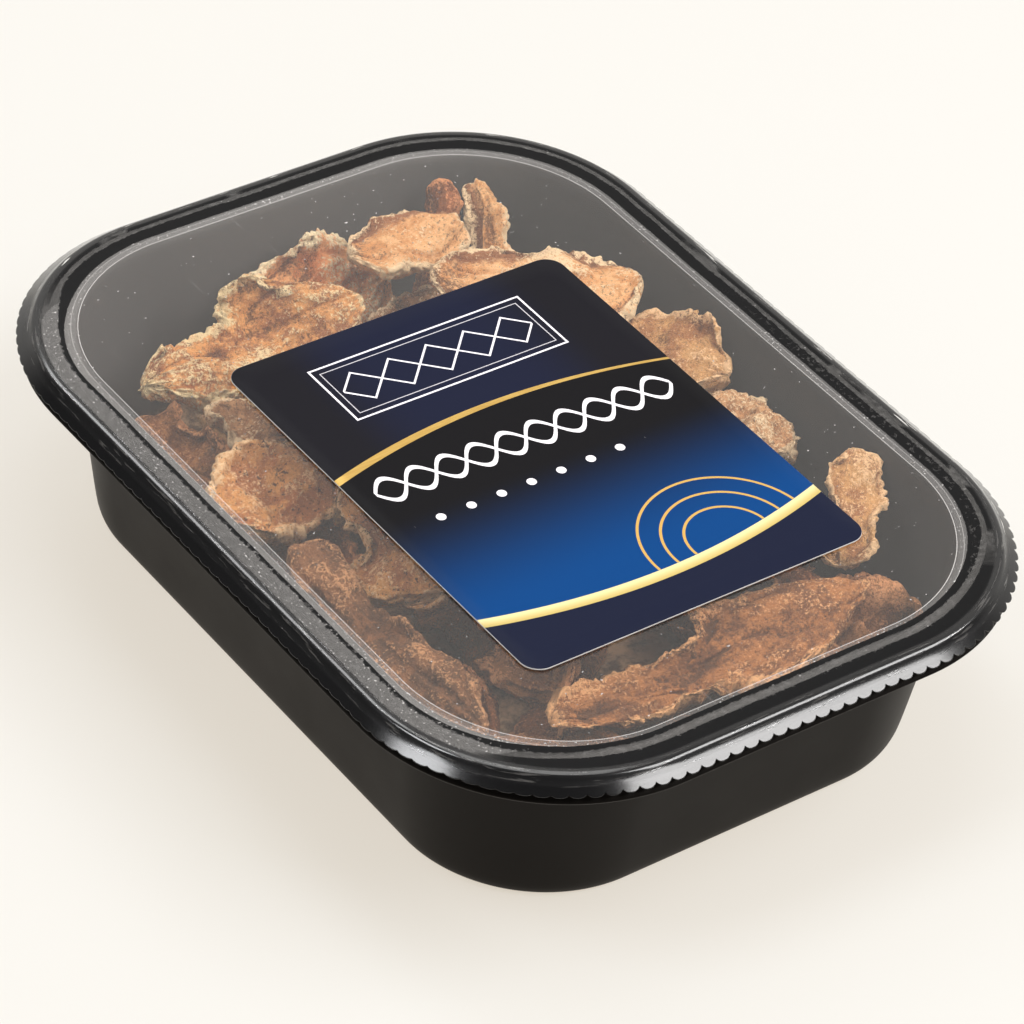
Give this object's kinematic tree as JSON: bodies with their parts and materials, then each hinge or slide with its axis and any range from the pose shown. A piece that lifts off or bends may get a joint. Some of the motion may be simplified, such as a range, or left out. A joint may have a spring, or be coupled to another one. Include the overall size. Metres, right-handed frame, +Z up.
{
  "type": "tray pack of dried porcini mushrooms",
  "caption": "Rounded black plastic tray of dried porcini slices, heat-sealed under a clear film with a turned-down cut edge and a blank printed label.",
  "frame": {"origin": "centre of the bounding box's base, on the surface that the tray stands on", "axes": "+X across the tray, from the label's left to its right; +Y along the tray, towards the label's top edge; +Z up"},
  "size_m": [0.1436, 0.19, 0.0435],
  "materials": {
    "tray_plastic": "black thermoformed plastic, satin",
    "clear_film": "clear heat-sealed lidding film, glossy",
    "printed_paper": "coated label, dark blue and black print with gold bands",
    "dried_porcini": "dry wrinkled mushroom flesh, tan to brown"
  },
  "bodies": {
    "root": {"label": "printed_paper", "porcini_cap_slice_01": "dried_porcini", "porcini_cap_slice_03": "dried_porcini", "porcini_cap_slice_04": "dried_porcini", "porcini_cap_slice_06": "dried_porcini", "porcini_cap_slice_07": "dried_porcini", "porcini_cap_slice_09": "dried_porcini", "porcini_cap_slice_10": "dried_porcini", "porcini_cap_slice_12": "dried_porcini", "porcini_cap_slice_16": "dried_porcini", "porcini_cap_slice_18": "dried_porcini", "porcini_cap_slice_20": "dried_porcini", "porcini_cap_slice_22": "dried_porcini", "porcini_cap_slice_26": "dried_porcini", "porcini_cap_slice_33": "dried_porcini", "porcini_cap_slice_39": "dried_porcini", "porcini_cap_slice_41": "dried_porcini", "porcini_chunk_23": "dried_porcini", "porcini_chunk_27": "dried_porcini", "porcini_chunk_31": "dried_porcini", "porcini_chunk_36": "dried_porcini", "porcini_chunk_37": "dried_porcini", "porcini_stem_34": "dried_porcini", "porcini_stem_35": "dried_porcini", "porcini_strip_14": "dried_porcini", "porcini_strip_19": "dried_porcini", "porcini_strip_29": "dried_porcini", "porcini_strip_32": "dried_porcini", "porcini_strip_38": "dried_porcini", "porcini_whole_slice_02": "dried_porcini", "porcini_whole_slice_05": "dried_porcini", "porcini_whole_slice_08": "dried_porcini", "porcini_whole_slice_11": "dried_porcini", "porcini_whole_slice_13": "dried_porcini", "porcini_whole_slice_15": "dried_porcini", "porcini_whole_slice_17": "dried_porcini", "porcini_whole_slice_21": "dried_porcini", "porcini_whole_slice_24": "dried_porcini", "porcini_whole_slice_25": "dried_porcini", "porcini_whole_slice_28": "dried_porcini", "porcini_whole_slice_30": "dried_porcini", "porcini_whole_slice_40": "dried_porcini", "porcini_whole_slice_42": "dried_porcini", "top_film": "clear_film", "tray": "tray_plastic"}
  },
  "joints": []
}
